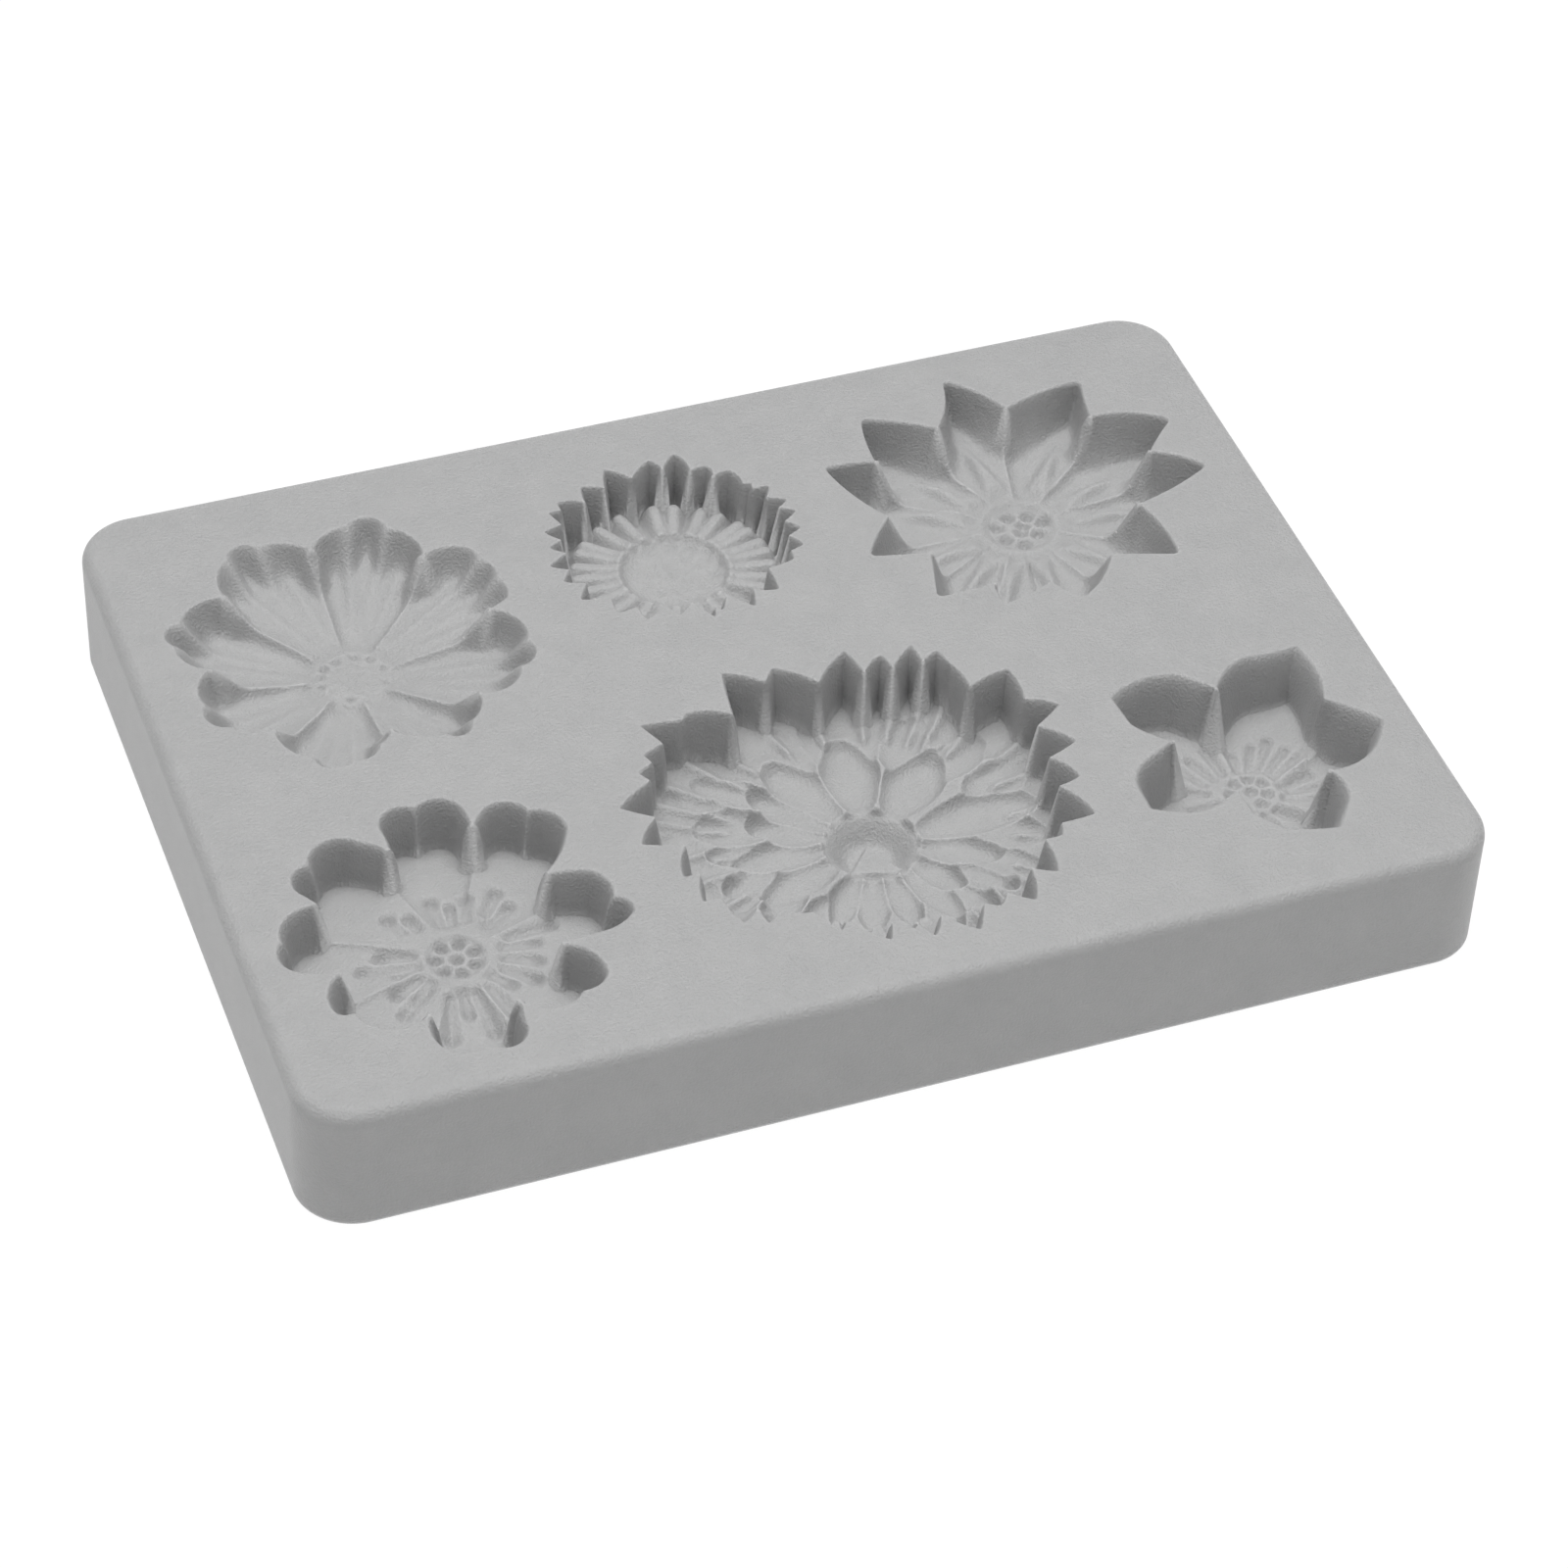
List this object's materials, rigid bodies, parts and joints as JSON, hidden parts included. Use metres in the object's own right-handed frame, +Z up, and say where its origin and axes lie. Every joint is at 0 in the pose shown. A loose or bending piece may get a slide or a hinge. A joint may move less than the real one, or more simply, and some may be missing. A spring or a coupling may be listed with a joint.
{
  "type": "silicone flower mould",
  "caption": "Thin rounded slab of soft silicone with flower-shaped cavities in its top face, for casting small soap, resin or fondant flowers.",
  "frame": {"origin": "centre of the flat underside, which the mould rests on", "axes": "+X along the long side, +Y across the short side away from the large layered flower's near edge, +Z up out of the cavities"},
  "size_m": [0.11, 0.081, 0.013],
  "materials": {
    "silicone": "matte"
  },
  "bodies": {
    "root": {"mould_body": "silicone"}
  },
  "joints": []
}
